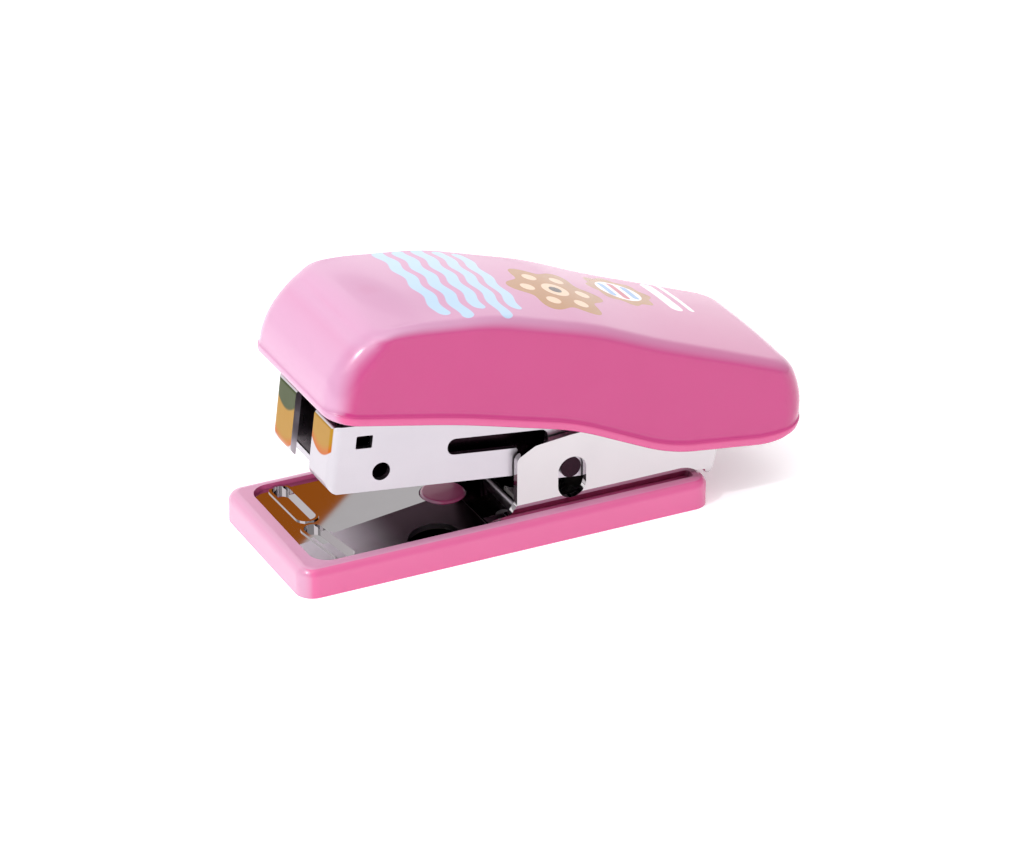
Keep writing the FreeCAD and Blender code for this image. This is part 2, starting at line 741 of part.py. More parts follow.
def top_cover():
    """Moulded cover: leaning sides, a rounded rim, a lip, a stepped cavity and bearing ribs."""
    body = new_body("top_cover", "cover_tilt")
    side = new_sketch(body, "XZ_Plane")
    outline(side, COVER_SIDE)
    grow(body, side, "2 * cover_half", symmetric=True)
    lean_sides(body)
    soften(body, "cover_round", on_rim)
    lip = new_sketch(body, "XZ_Plane")
    outline(lip, lip_outline())
    grow(body, lip, "2 * (cover_half + lip_proud)", symmetric=True)
    soften(body, "cover_round + lip_proud", on_lip_corner)
    hollow_cover(body)
    cover_ribs(body)


def lean_sides(body):
    """Slice both sides so that they lean in towards the top."""
    section = new_sketch(body, "YZ_Plane", "-60")
    for sign in ("", "-"):
        outline(section, [
            (sign + "(cover_half + 5 * cover_lean)", "-5"), (sign + "(cover_half - 15 * cover_lean)", "15"),
            (sign + "(cover_half + 3)", "15"), (sign + "(cover_half + 3)", "-5")])
    cut(body, section, THROUGH, back=True)


def on_rim(edge):
    """Whether an edge belongs to the cover's front, top or rear rim, on either side."""
    box = edge.BoundBox
    middle = edge.CenterOfMass
    sideways = abs(box.YMin) > 9 and abs(box.YMax) > 9 and box.YMin * box.YMax > 0
    above = middle.z > 6 or (middle.x < -42 and middle.z > 2) or (middle.x > 11.8 and middle.z > 1.6)
    return sideways and above


def on_lip_corner(edge):
    """Whether an edge is one of the four short upright corners of the lip."""
    box = edge.BoundBox
    at_front = box.XMax < value("cover_front - lip_proud") + 0.01
    at_back = box.XMin > value("cover_back + lip_proud") - 0.01
    return (at_front or at_back) and box.XLength < 1e-4 and box.YLength < 1e-4 and box.ZLength > 0.3


def hollow_cover(body):
    """Cavity for the carrier, and a narrower one above it that keeps the wall's thickness."""
    lower = new_sketch(body, "XZ_Plane")
    outline(lower, [
        ("-43.0", "-6"), ("-43.0", "0"), ("-42.75", "5.0", "6"), ("-42.3", "carrier_top + 0.1"),
        ("10.3", "carrier_top + 0.1"), ("11.3", "3.4", "6"), ("11.5", "1.0"), ("13.5", "-6")])
    cut(body, lower, "2 * cavity_half", symmetric=True)
    upper = new_sketch(body, "XZ_Plane")
    outline(upper, [
        ("-42.75", "5.0"), ("-41.4", "8.7", "1"), ("-38", "10.1", "10"), ("-27.5", "11.45", "40"),
        ("-15", "10.7", "45"), ("-7", "9.25", "45"), ("9.3", "7.15", "1"), ("10.6", "5.0")])
    cut(body, upper, "2 * cavity_upper_half", symmetric=True)


def cover_ribs(body):
    """Ribs inside the cover that bear on the driver carrier."""
    for centre in RIB_PLACES:
        rib = new_sketch(body, "XZ_Plane")
        rectangle(rib, centre + " - rib_half", centre + " + rib_half", "carrier_top", "rib_top")
        grow(body, rib, "2 * (cavity_upper_half + 0.1)", symmetric=True)


def driver_carrier():
    """Inverted steel channel inside the cover whose arms reach down to the pin."""
    body = new_body("driver_carrier", "cover_tilt")
    side = new_sketch(body, "XZ_Plane")
    outline(side, [
        ("carrier_front", "4.6", "0.6"), ("-14", "3.2", "8"), ("-6", "-0.4", "6"), ("-1.9", "-1.65", "1.5"),
        ("1.9", "-1.65", "1.5"), ("2.8", "1.0", "2"), ("2.8", "carrier_top"),
        ("carrier_front", "carrier_top")])
    grow(body, side, "2 * carrier_half", symmetric=True)
    roof = value("carrier_top")
    soften(body, "carrier_round", lambda edge: fore_and_aft_edge(edge) and level_edge(edge, roof))
    inside = new_sketch(body, "YZ_Plane", "carrier_front - 1")
    reach = "(carrier_half - carrier_wall)"
    top = "carrier_top - carrier_wall"
    outline(inside, [("-" + reach, "-8"), (reach, "-8"), (reach, top, "0.6"), ("-" + reach, top, "0.6")])
    cut(body, inside, THROUGH, back=True)
    bore = new_sketch(body, "XZ_Plane")
    circle(bore, "0", "0", "pin_radius + pin_clear")
    cut(body, bore, THROUGH, symmetric=True)
    holes = new_sketch(body, "XY_Plane", "carrier_top + 1")
    for along in ("blade_rivet_x", "lift_rivet_x"):
        circle(holes, along, "rivet_pair_y", "rivet_radius")
        circle(holes, along, "-rivet_pair_y", "rivet_radius")
    cut(body, holes, "rivet_hole_depth")


def driver_blade():
    """Hardened blade that drives the staple, folded back and riveted under the carrier."""
    body = new_body("driver_blade", "cover_tilt")
    side = new_sketch(body, "XZ_Plane")
    seat = "(carrier_top - carrier_wall)"
    outline(side, [
        ("blade_x - blade_thick / 2", "blade_low"), ("blade_x + blade_thick / 2", "blade_low"),
        ("blade_x + blade_thick / 2", seat + " - blade_thick", "0.3"),
        ("blade_back", seat + " - blade_thick"),
        ("blade_back", seat), ("blade_x - blade_thick / 2", seat, "0.7")])
    grow(body, side, "2 * blade_half", symmetric=True)
    holes = new_sketch(body, "XY_Plane", "carrier_top + 1")
    circle(holes, "blade_rivet_x", "rivet_pair_y", "rivet_radius")
    circle(holes, "blade_rivet_x", "-rivet_pair_y", "rivet_radius")
    cut(body, holes, "rivet_hole_depth")


def cover_spring():
    """Leaf under the carrier whose free end bears on the channel's walls and lifts the cover."""
    seat = "(carrier_top - carrier_wall)"
    body = bent_leaf("cover_spring", "cover_tilt", "leaf_half", [
        ("-7.5", seat + " - leaf_thick"), ("-7.5", seat), ("-13", seat, "3"),
        ("-23.4", "1.5 + leaf_thick", "1.2"), ("-25.4", "2.4"), ("-25.6", "2.4 - leaf_thick"),
        ("-23.4", "1.45", "1.6"), ("-12.8", seat + " - leaf_thick", "3.4")])
    holes = new_sketch(body, "XY_Plane", "carrier_top + 1")
    circle(holes, "lift_rivet_x", "rivet_pair_y", "rivet_radius")
    circle(holes, "lift_rivet_x", "-rivet_pair_y", "rivet_radius")
    cut(body, holes, "rivet_hole_depth")


def pair(along):
    """The places of two rivets side by side."""
    return [(along, "rivet_pair_y"), (along, "-rivet_pair_y")]


def build():
    """Make every sub-part in order, from the table up."""
    fill_sheet()
    base_tray()
    base_plate()
    cross_pin("hinge_pin", "row", ("hinge_x", "hinge_z"), "pin_radius", "pin_half", "pin_head_radius",
              "pin_head_thick")
    hinge_sleeve()
    return_spring()
    seat = "recess_floor + plate_thick + leaf_thick"
    upright_rivet("return_spring_rivet", "row", [("return_rivet_x", "0")], "recess_floor", seat)
    magazine_channel()
    staple_rail()
    low = "channel_bottom"
    seat = "channel_bottom + channel_wall + rail_wall"
    upright_rivet("rail_rivets", "magazine_tilt", [("front_rivet_x", "0"), ("rear_rivet_x", "0")], low, seat)
    guide_rod()
    guide_rod_clip()
    pusher()
    pusher_spring()
    stop_studs()
    top_cover()
    driver_carrier()
    driver_blade()
    low = "carrier_top - carrier_wall - blade_thick"
    upright_rivet("driver_rivets", "cover_tilt", pair("blade_rivet_x"), low, "carrier_top")
    cover_spring()
    low = "carrier_top - carrier_wall - leaf_thick"
    upright_rivet("cover_spring_rivets", "cover_tilt", pair("lift_rivet_x"), low, "carrier_top")


def check():
    """Stop on any failed object or bad sub-part shape."""
    document.recompute()
    for item in document.Objects:
        if "Invalid" in item.State or "Error" in item.State:
            raise RuntimeError("%s (%s) failed: %s" % (item.Name, item.Label, item.State))
    for piece in pieces:
        if piece.Shape.isNull() or not piece.Shape.isValid():
            raise RuntimeError("%s has no valid shape" % piece.Label)


def export():
    """Write each sub-part to its own file, named by its label."""
    os.makedirs("parts", exist_ok=True)
    for piece in pieces:
        piece.Shape.exportStep("parts/%s.step" % piece.Label)
        print("%-22s %8.2f mm3 %d solid(s)" % (piece.Label, piece.Shape.Volume, len(piece.Shape.Solids)))


build()
check()
export()
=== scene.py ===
"""Mini desk stapler: the looks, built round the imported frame.

Lengths inside the classes are millimetres; meshes are written in metres. A part that turns
on the rear pin is worked out level, with the pin as its origin, and then tilted on the pin.
"""

import json
import logging
import math
from dataclasses import dataclass, field
from enum import Enum
from functools import partial
from typing import Any, Mapping, Sequence

import bmesh
import bpy
import numpy as np
from numpy.typing import NDArray
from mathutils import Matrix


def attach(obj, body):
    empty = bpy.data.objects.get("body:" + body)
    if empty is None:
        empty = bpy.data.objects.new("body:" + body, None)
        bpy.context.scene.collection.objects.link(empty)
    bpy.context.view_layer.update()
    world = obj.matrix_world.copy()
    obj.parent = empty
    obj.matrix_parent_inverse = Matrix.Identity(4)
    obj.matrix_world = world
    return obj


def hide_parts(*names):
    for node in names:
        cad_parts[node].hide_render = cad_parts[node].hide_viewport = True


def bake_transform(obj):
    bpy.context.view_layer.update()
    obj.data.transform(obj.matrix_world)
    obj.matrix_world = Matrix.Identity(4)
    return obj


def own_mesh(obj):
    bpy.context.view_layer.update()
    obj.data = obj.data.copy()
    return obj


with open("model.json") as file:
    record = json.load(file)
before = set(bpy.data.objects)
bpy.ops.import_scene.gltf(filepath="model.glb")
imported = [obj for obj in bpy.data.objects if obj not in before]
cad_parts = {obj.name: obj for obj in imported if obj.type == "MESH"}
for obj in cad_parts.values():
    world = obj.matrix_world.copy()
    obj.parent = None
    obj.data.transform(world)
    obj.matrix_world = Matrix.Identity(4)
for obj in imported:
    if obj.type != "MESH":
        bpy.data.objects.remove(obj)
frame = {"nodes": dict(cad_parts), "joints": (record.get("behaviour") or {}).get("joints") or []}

log = logging.getLogger("mini_stapler")
Array = NDArray[np.float64]
Node = bpy.types.Node
Socket = bpy.types.NodeSocket
Tree = bpy.types.ShaderNodeTree

MM = 0.001
HINGE = next(joint["pos_m"] for joint in frame["joints"] if joint["name"] == "cover_hinge")
COVER_TILT = 13.7
PLAN = "cover_plan"

# Inputs and output of the colour mixing node, and the smooth kind of range node.
FACTOR, UNDER, OVER, MIXED = 0, 6, 7, 2
SMOOTH = "SMOOTHSTEP"


class Ink(Enum):
    """Pad-printing inks on the cover."""

    SKY = "#b4cfe9"
    TAN = "#b0763a"
    CREAM = "#e9c7a8"
    COCOA = "#3a1d1a"
    WHITE = "#fbf6fb"
    BLUE = "#7fa6d8"
    CRIMSON = "#c2405f"


def linear(code: str) -> tuple[float, float, float, float]:
    """Turn an sRGB hex code into a linear colour.

    Args:
        code: the colour as "#rrggbb".

    Returns:
        Red, green, blue and an alpha of one.
    """
    parts = [int(code[i:i + 2], 16) / 255 for i in (1, 3, 5)]
    curve = [c / 12.92 if c <= 0.04045 else ((c + 0.055) / 1.055) ** 2.4 for c in parts]
    return (curve[0], curve[1], curve[2], 1.0)


def add_node(tree: Tree, kind: str, inputs: Mapping[Any, Any] | Sequence[Any] = (),
             **settings: Any) -> Node:
    """Add one node, set its properties, and set or link its inputs.

    Args:
        tree: the node tree.
        kind: the node's type name without "ShaderNode".
        inputs: a value, socket or node for each input, in order or by name or number. A node
            stands for its first output.
        settings: values by property name.

    Returns:
        The new node.
    """
    node = tree.nodes.new("ShaderNode" + kind)
    for key, value in settings.items():
        setattr(node, key, value)
    for key, value in inputs.items() if isinstance(inputs, Mapping) else enumerate(inputs):
        if isinstance(value, Node):
            value = value.outputs[0]
        if isinstance(value, Socket):
            tree.links.new(value, node.inputs[key])
        else:
            node.inputs[key].default_value = value
    return node


def scale_for(size_mm: float) -> float:
    """The noise scale whose blotches are about one given size."""
    return 1 / (size_mm * MM)


@dataclass(frozen=True)
class Finish:
    """A surface finish; its subclasses say what the material is and how it was made."""

    name: str
    colour: str
    deep: str
    roughness: float

    def material(self) -> bpy.types.Material:
        """Build the material.

        Returns:
            A material with one principled shader, filled in by the finish.
        """
        made = bpy.data.materials.new(self.name)
        made.use_nodes = True
        tree = made.node_tree
        tree.nodes.clear()
        shader = add_node(tree, "BsdfPrincipled")
        add_node(tree, "OutputMaterial", {"Surface": shader})
        self.shade(tree, shader, add_node(tree, "TexCoord").outputs["Object"])
        return made

    def shade(self, tree: Tree, shader: Node, where: Socket) -> None:
        """Fill in the shader; each kind of finish does it in its own way."""
        raise NotImplementedError


@dataclass(frozen=True)
class MouldedAbs(Finish):
    """Injection-moulded ABS from a polished tool: glossy, with a faint flow mottle.

    The pale colour is a painted sheen: light from the lamps and the bright surroundings, painted onto
    what faces up or to the front and fading towards the back. It starts at a height, except where
    the surface faces far enough to the front.
    """

    # pale is the colour of the painted sheen, standing in for light falling on the plastic.
    pale: str = "#ffffff"
    painted_sheen_share: float = 0.0
    painted_sheen_from: float = 3.2
    painted_sheen_soft: float = 0.1
    painted_sheen_lost: float = 0.42
    turn_range: tuple[float, float] = (0.12, 0.86)
    front_range: tuple[float, float] = (0.3, 0.5)
    back_range: tuple[float, float] = (-12.0, 30.0)
    mottle_mm: float = 9.0
    gloss_mm: float = 3.0
    gloss_range: tuple[float, float] = (-0.03, 0.04)
    peel_mm: float = 0.9
    ripple_mm: float = 0.004
    ior: float = 1.54
    coat: float = 0.35
    coat_roughness: float = 0.04

    def ground(self, tree: Tree, where: Socket) -> Socket:
        """The bare plastic's colour: a slow mottle with the painted pale sheen over it.

        The painted sheen's mask is a product of three smooth steps: how far the surface turns up or to
        the front, how far forward it is, and how high it is.

        Args:
            tree: the node tree.
            where: object coordinates in metres.

        Returns:
            The colour.
        """
        add = partial(add_node, tree)
        mottle = add("TexNoise", {"Vector": where, "Scale": scale_for(self.mottle_mm), "Detail": 3.0})
        body = add("Mix", {FACTOR: mottle, UNDER: linear(self.colour), OVER: linear(self.deep)},
                   data_type="RGBA").outputs[MIXED]
        if not self.painted_sheen_share:
            return body
        facing = add("SeparateXYZ", [add("TexCoord").outputs["Normal"]])
        forward = add("Math", [facing.outputs["X"], -1.0], operation="MULTIPLY")
        lifted = add("Math", [forward, facing.outputs["Z"]], operation="MAXIMUM")
        turned = add("MapRange", [lifted, *self.turn_range], interpolation_type=SMOOTH)
        back = [add("SeparateXYZ", [where]), *(x * MM for x in self.back_range)]
        fade = add("Math", [add("MapRange", back, interpolation_type=SMOOTH), -self.painted_sheen_lost,
                            self.painted_sheen_share], operation="MULTIPLY_ADD")
        rise = [self.height(tree, where), self.painted_sheen_from, self.painted_sheen_from + self.painted_sheen_soft]
        high = add("MapRange", rise, interpolation_type=SMOOTH)
        front = add("MapRange", [forward, *self.front_range], interpolation_type=SMOOTH)
        above = add("Math", [high, front], operation="MAXIMUM")
        # bloom here is the painted sheen's mask: pale colour standing in for light, not a change in the
        # plastic.
        bloom = add("Math", [turned, fade], operation="MULTIPLY")
        bloom = add("Math", [bloom, above], operation="MULTIPLY")
        return add("Mix", {FACTOR: bloom, UNDER: body, OVER: linear(self.pale)},
                   data_type="RGBA").outputs[MIXED]

    def height(self, tree: Tree, where: Socket) -> Socket:
        """The height in millimetres that the painted sheen is measured by."""
        place = add_node(tree, "SeparateXYZ", [where]).outputs["Z"]
        return add_node(tree, "Math", [place, 1 / MM], operation="MULTIPLY").outputs[0]

    def shade(self, tree: Tree, shader: Node, where: Socket) -> None:
        """Colour with a slow mottle, uneven gloss and a very fine orange peel.

        Args:
            tree: the node tree.
            shader: the principled shader to fill in.
            where: object coordinates in metres.
        """
        add = partial(add_node, tree)
        tree.links.new(self.ground(tree, where), shader.inputs["Base Color"])
        patches = add("TexNoise", {"Vector": where, "Scale": scale_for(self.gloss_mm), "Detail": 4.0})
        low, high = (self.roughness + change for change in self.gloss_range)
        gloss = add("MapRange", {"Value": patches, "To Min": low, "To Max": high})
        tree.links.new(gloss.outputs[0], shader.inputs["Roughness"])
        peel = add("TexNoise", {"Vector": where, "Scale": scale_for(self.peel_mm), "Detail": 1.0})
        relief = add("Bump", {"Height": peel, "Strength": 1.0, "Distance": self.ripple_mm * MM})
        tree.links.new(relief.outputs[0], shader.inputs["Normal"])
        shader.inputs["IOR"].default_value = self.ior
        shader.inputs["Coat Weight"].default_value = self.coat
        shader.inputs["Coat Roughness"].default_value = self.coat_roughness


@dataclass(frozen=True)
class PaleSheet(MouldedAbs):
    """Matt plastic floor sheet that glows a little, so that it stays evenly pale."""

    glow: float = 0.34

    def shade(self, tree: Tree, shader: Node, where: Socket) -> None:
        """Add the glow to the moulded finish.

        Args:
            tree: the node tree.
            shader: the principled shader to fill in.
            where: object coordinates in metres.
        """
        super().shade(tree, shader, where)
        shader.inputs["Emission Color"].default_value = linear("#ffffff")
        shader.inputs["Emission Strength"].default_value = self.glow


@dataclass(frozen=True)
class Print:
    """One generic shape pad-printed on the cover, in millimetres from the pin."""

    ink: Ink
    along: float
    across: float

    def mask(self, tree: Tree, along: Socket, across: Socket) -> Node:
        """One on the shape and nothing off it; each kind of shape has its own."""
        raise NotImplementedError

    def distance(self, tree: Tree, one: Node, other: Node) -> Node:
        """The length of the hypotenuse on two sides."""
        square = add_node(tree, "Math", [other, other], operation="MULTIPLY")
        both = add_node(tree, "Math", [one, one, square], operation="MULTIPLY_ADD")
        return add_node(tree, "Math", [both], operation="SQRT")

    def inside(self, tree: Tree, distance: Node, half: float, soft: float = 0.07) -> Node:
        """One where a distance is under a half width, with the ink's soft edge."""
        return add_node(tree, "MapRange", [distance, half + soft, half - soft], interpolation_type=SMOOTH)


@dataclass(frozen=True)
class Ribbon(Print):
    """A round-ended ribbon across the cover, straight or wavy."""

    reach: float
    half: float
    wave: float = 0.0
    wave_length: float = 4.6

    def mask(self, tree: Tree, along: Socket, across: Socket) -> Node:
        """Mark the ribbon.

        Its centre line lies at along + wave sin(2 pi across / wave length). A place is as far
        from the ribbon as the hypotenuse of how far it is from that line and past its ends.

        Args:
            tree: the node tree.
            along: the place along the cover.
            across: the place across the cover.

        Returns:
            The node whose first output is the mask.
        """
        add = partial(add_node, tree)
        turn = add("Math", [across, 2 * math.pi / self.wave_length], operation="MULTIPLY")
        sine = add("Math", [turn], operation="SINE")
        centre = add("Math", [sine, self.wave, self.along], operation="MULTIPLY_ADD")
        aside = add("Math", [along, centre], operation="SUBTRACT")
        length = add("Math", [across, self.across], operation="SUBTRACT")
        size = add("Math", [length], operation="ABSOLUTE")
        over = add("Math", [size, self.reach - self.half], operation="SUBTRACT")
        past = add("Math", [over, 0.0], operation="MAXIMUM")
        return self.inside(tree, self.distance(tree, aside, past), self.half)


@dataclass(frozen=True)
class Flower(Print):
    """A flower, or a plain disc where it has no petals."""

    radius: float
    petals: int = 0
    depth: float = 0.0

    def mask(self, tree: Tree, along: Socket, across: Socket) -> Node:
        """Mark the flower: its radius swells with the cosine of petals times the angle.

        Args:
            tree: the node tree.
            along: the place along the cover.
            across: the place across the cover.

        Returns:
            The node whose first output is the mask.
        """
        add = partial(add_node, tree)
        aside = add("Math", [along, self.along], operation="SUBTRACT")
        out = add("Math", [across, self.across], operation="SUBTRACT")
        distance = self.distance(tree, aside, out)
        if self.petals:
            angle = add("Math", [out, aside], operation="ARCTAN2")
            turns = add("Math", [angle, float(self.petals)], operation="MULTIPLY")
            swell = add("Math", [turns], operation="COSINE")
            distance = add("Math", [swell, -self.depth, distance], operation="MULTIPLY_ADD")
        return self.inside(tree, distance, self.radius)


def cover_prints() -> tuple[Print, ...]:
    """Lay out everything printed on the cover.

    Returns:
        The shapes from the lowest layer up: wavy ribbons at the front, a flower with a ring of
        dots, a striped disc, and two bars at the back.
    """
    waves = ((-33.0, 0.6, 8.6), (-30.7, 0.0, 9.0), (-28.4, 0.9, 8.2), (-26.1, -0.4, 8.8), (-23.8, 0.5, 7.6))
    bloom, disc = (-16.0, -0.8), (-5.3, 3.6)
    petals, dot_ring = 6, 3.5
    dots = [(bloom[0] + dot_ring * math.cos(a), bloom[1] + dot_ring * math.sin(a))
            for a in np.arange(petals) * 2 * math.pi / petals]
    stripes = ((-1.5, 1.9, Ink.BLUE), (0.0, 2.4, Ink.CRIMSON), (1.5, 1.9, Ink.BLUE))
    return (
        *(Ribbon(Ink.SKY, at, middle, reach, half=0.72, wave=0.22) for at, middle, reach in waves),
        Flower(Ink.TAN, *disc, radius=3.9, petals=8, depth=0.3),
        Flower(Ink.TAN, *bloom, radius=5.3, petals=petals, depth=0.8),
        *(Flower(Ink.CREAM, *dot, radius=0.85) for dot in dots),
        Flower(Ink.CREAM, *bloom, radius=1.6),
        Flower(Ink.COCOA, *bloom, radius=0.75),
        Flower(Ink.WHITE, *disc, radius=2.7),
        *(Ribbon(ink, disc[0] + shift, disc[1], reach, half=0.45) for shift, reach, ink in stripes),
        Ribbon(Ink.WHITE, 0.9, 4.4, reach=4.2, half=0.8),
        Ribbon(Ink.WHITE, 3.0, 4.9, reach=4.2, half=0.34))


@dataclass(frozen=True)
class PrintedAbs(MouldedAbs):
    """The cover's moulded ABS with pad-printed ink on its top and a painted highlight on the lip."""

    # lip is a painted highlight: the lip band is coloured lighter for the light its outward flare catches.
    lip: str = "#d9548f"
    lip_range: tuple[float, float] = (1.1, 0.85)
    side_range: tuple[float, float] = (0.6, 0.9)
    prints: tuple[Print, ...] = field(default_factory=cover_prints)

    def plan(self, tree: Tree) -> Node:
        """The place along and across the cover, and the height above its lower edge."""
        stored = add_node(tree, "Attribute", attribute_name=PLAN)
        return add_node(tree, "SeparateXYZ", [stored.outputs["Vector"]])

    def height(self, tree: Tree, where: Socket) -> Socket:
        """The height above the lower edge, so that the painted sheen stays off the lip's painted highlight.
        """
        return self.plan(tree).outputs["Z"]

    def ground(self, tree: Tree, where: Socket) -> Socket:
        """The plastic's colour with the lip's painted highlight and then each printed shape laid over it.

        Args:
            tree: the node tree.
            where: object coordinates in metres.

        Returns:
            The colour.
        """
        add = partial(add_node, tree)
        colour = super().ground(tree, where)
        plan = self.plan(tree)
        # The lip's painted highlight: a lighter band low on the sides.
        band = add("MapRange", [plan.outputs["Z"], *self.lip_range], interpolation_type=SMOOTH)
        facing = add("SeparateXYZ", [add("TexCoord").outputs["Normal"]])
        sideways = add("Math", [facing.outputs["Y"]], operation="ABSOLUTE")
        beside = add("MapRange", [sideways, *self.side_range], interpolation_type=SMOOTH)
        lip = add("Math", [band, beside], operation="MULTIPLY")
        layers = [(lip, self.lip)]
        for shape in self.prints:
            layers.append((shape.mask(tree, plan.outputs["X"], plan.outputs["Y"]), shape.ink.value))
        for mask, code in layers:
            colour = add("Mix", {FACTOR: mask, UNDER: colour, OVER: linear(code)},
                         data_type="RGBA").outputs[MIXED]
        return colour


@dataclass(frozen=True)
class Steel(Finish):
    """Sheet steel, plated or tempered after rolling: fine grain lines along the sheet.

    Real rolling lines are about 0.03 mm apart; these are as fine as still shows.
    """

    grain_mm: float = 0.12
    depth_mm: float = 0.0006
    stretch: float = 0.04
    cloud_mm: float = 6.0
    gloss_mm: float = 2.0
    gloss_shares: tuple[float, float] = (0.8, 1.25)

    def shade(self, tree: Tree, shader: Node, where: Socket) -> None:
        """Metal colour with faint clouds, grain stretched along X, and uneven roughness.

        Args:
            tree: the node tree.
            shader: the principled shader to fill in.
            where: object coordinates in metres.
        """
        add = partial(add_node, tree)
        tree.links.new(self.ground(tree, where), shader.inputs["Base Color"])
        shader.inputs["Metallic"].default_value = 1.0
        patches = add("TexNoise", {"Vector": where, "Scale": scale_for(self.gloss_mm), "Detail": 3.0})
        low, high = (self.roughness * share for share in self.gloss_shares)
        gloss = add("MapRange", {"Value": patches, "To Min": low, "To Max": high})
        tree.links.new(gloss.outputs[0], shader.inputs["Roughness"])
        drawn = add("Mapping", {"Vector": where, "Scale": (self.stretch, 1.0, 1.0)})
        grain = add("TexNoise", {"Vector": drawn, "Scale": scale_for(self.grain_mm), "Detail": 2.0})
        relief = add("Bump", {"Height": grain, "Strength": 1.0, "Distance": self.depth_mm * MM})
        tree.links.new(relief.outputs[0], shader.inputs["Normal"])

    def ground(self, tree: Tree, where: Socket) -> Socket:
        """The metal's colour, with faint clouds.

        Args:
            tree: the node tree.
            where: object coordinates in metres.

        Returns:
            The colour.
        """
        add = partial(add_node, tree)
        cloud = add("TexNoise", {"Vector": where, "Scale": scale_for(self.cloud_mm), "Detail": 4.0})
        return add("Mix", {FACTOR: cloud, UNDER: linear(self.colour), OVER: linear(self.deep)},
                   data_type="RGBA").outputs[MIXED]


@dataclass(frozen=True)
class ChannelWithPaintedReflection(Steel):
    """Nickel-plated channel with painted reflections on its nose and painted shade underneath.

    The painted reflections are warm colours on the front faces, standing in for the warm surroundings
    mirrored there. They lie above a line that is lowest in the middle of each flange and rises with
    the square of the distance from there.
    """

    straw: str = "#a87c24"
    orange: str = "#b8601c"
    olive: str = "#3b451b"
    # shade_below is the colour of the painted shade on the underside.
    shade_below: str = "#2e1624"
    ahead_range: tuple[float, float] = (0.78, 0.86)
    nose_range: tuple[float, float] = (18.6, 18.8)
    far_range: tuple[float, float] = (-0.5, 0.5)
    line_height: float = 13.8
    line_far_drop: float = 3.3
    flange_middle: float = 4.6
    flange_half: float = 2.4
    line_rise: float = 1.1
    line_soft: float = 0.2
    orange_range: tuple[float, float] = (1.4, 0.2)
    olive_range: tuple[float, float] = (4.2, 4.6)
    below_range: tuple[float, float] = (-0.8, -0.9)
    below_back_range: tuple[float, float] = (-16.0, -6.0)

    def ground(self, tree: Tree, where: Socket) -> Socket:
        """Plain nickel, with painted reflections on the nose and painted shade on the underside.

        Args:
            tree: the node tree.
            where: object coordinates in metres.

        Returns:
            The colour.
        """
        add = partial(add_node, tree)
        plain = super().ground(tree, where)
        millimetres = add("VectorMath", [where, (1 / MM,) * 3], operation="MULTIPLY")
        place = add("SeparateXYZ", [millimetres])
        facing = add("SeparateXYZ", [add("TexCoord").outputs["Normal"]])
        forward = add("Math", [facing.outputs["X"], -1.0], operation="MULTIPLY")
        ahead = add("MapRange", [forward, *self.ahead_range], interpolation_type=SMOOTH)
        out = add("Math", [place.outputs["X"], -1.0], operation="MULTIPLY")
        nose = add("MapRange", [out, *self.nose_range], interpolation_type=SMOOTH)
        far = add("MapRange", [place.outputs["Y"], *self.far_range], interpolation_type=SMOOTH)

        side = add("Math", [place.outputs["Y"]], operation="ABSOLUTE")
        aside = add("Math", [side, self.flange_middle], operation="SUBTRACT")
        share = add("Math", [aside, self.flange_half], operation="DIVIDE")
        square = add("Math", [share, share], operation="MULTIPLY")
        lowest = add("Math", [far, -self.line_far_drop, self.line_height], operation="MULTIPLY_ADD")
        line = add("Math", [square, self.line_rise, lowest], operation="MULTIPLY_ADD")
        above = add("Math", [place.outputs["Z"], line], operation="SUBTRACT")

        past = add("MapRange", [above, 0.0, self.line_soft], interpolation_type=SMOOTH)
        low = add("MapRange", [above, *self.orange_range], interpolation_type=SMOOTH)
        top = add("MapRange", [above, *self.olive_range], interpolation_type=SMOOTH)
        high = add("Math", [top, far], operation="MULTIPLY")
        # Painted reflection: warm colours standing in for the surroundings mirrored in the nose.
        painted_reflection = add("Mix", {FACTOR: low, UNDER: linear(self.straw), OVER: linear(self.orange)},
                   data_type="RGBA").outputs[MIXED]
        painted_reflection = add("Mix", {FACTOR: high, UNDER: painted_reflection, OVER: linear(self.olive)},
                   data_type="RGBA").outputs[MIXED]
        on = add("Math", [ahead, nose], operation="MULTIPLY")
        on = add("Math", [on, past], operation="MULTIPLY")
        with_painted_reflection = add("Mix", {FACTOR: on, UNDER: plain, OVER: painted_reflection}, data_type="RGBA").outputs[MIXED]

        # Painted shade: the underside darkens towards the back.
        down = add("MapRange", [facing.outputs["Z"], *self.below_range], interpolation_type=SMOOTH)
        back = add("MapRange", [place.outputs["X"], *self.below_back_range], interpolation_type=SMOOTH)
        under = add("Math", [down, back], operation="MULTIPLY")
        return add("Mix", {FACTOR: under, UNDER: with_painted_reflection, OVER: linear(self.shade_below)},
                   data_type="RGBA").outputs[MIXED]


# Nickel plate on pressed steel: bright, a little milky, with soft wide reflections. The channel's nose also
# carries painted reflections, and its underside painted shade.
CHANNEL = ChannelWithPaintedReflection("bright_nickel_plated_channel", "#c9c4ca", "#c0bbc2", 0.30)
NICKEL = Steel("bright_nickel_plated_steel", "#cbc6cb", "#c1bcc2", 0.30)
# Chrome over a polished plate: almost a mirror, so it shows mostly what stands round it.
CHROME = Steel("polished_chrome_plated_steel", "#cdc9cb", "#c4c0c2", 0.015, grain_mm=0.2,
               depth_mm=0.00001)
# Dark steel, near black with a plum cast and a satin gleam: painted shade for the dark inside the channel
# and its slots, with the plum cast a painted reflection of the pink cover.
PAINTED_SHADE_STEEL = Steel("dark_steel_painted_shade", "#33222b", "#24161d", 0.26)
# Spring steel left as tempered: grey and satin.
SPRING = Steel("tempered_spring_steel", "#8d8a88", "#7b7876", 0.28)
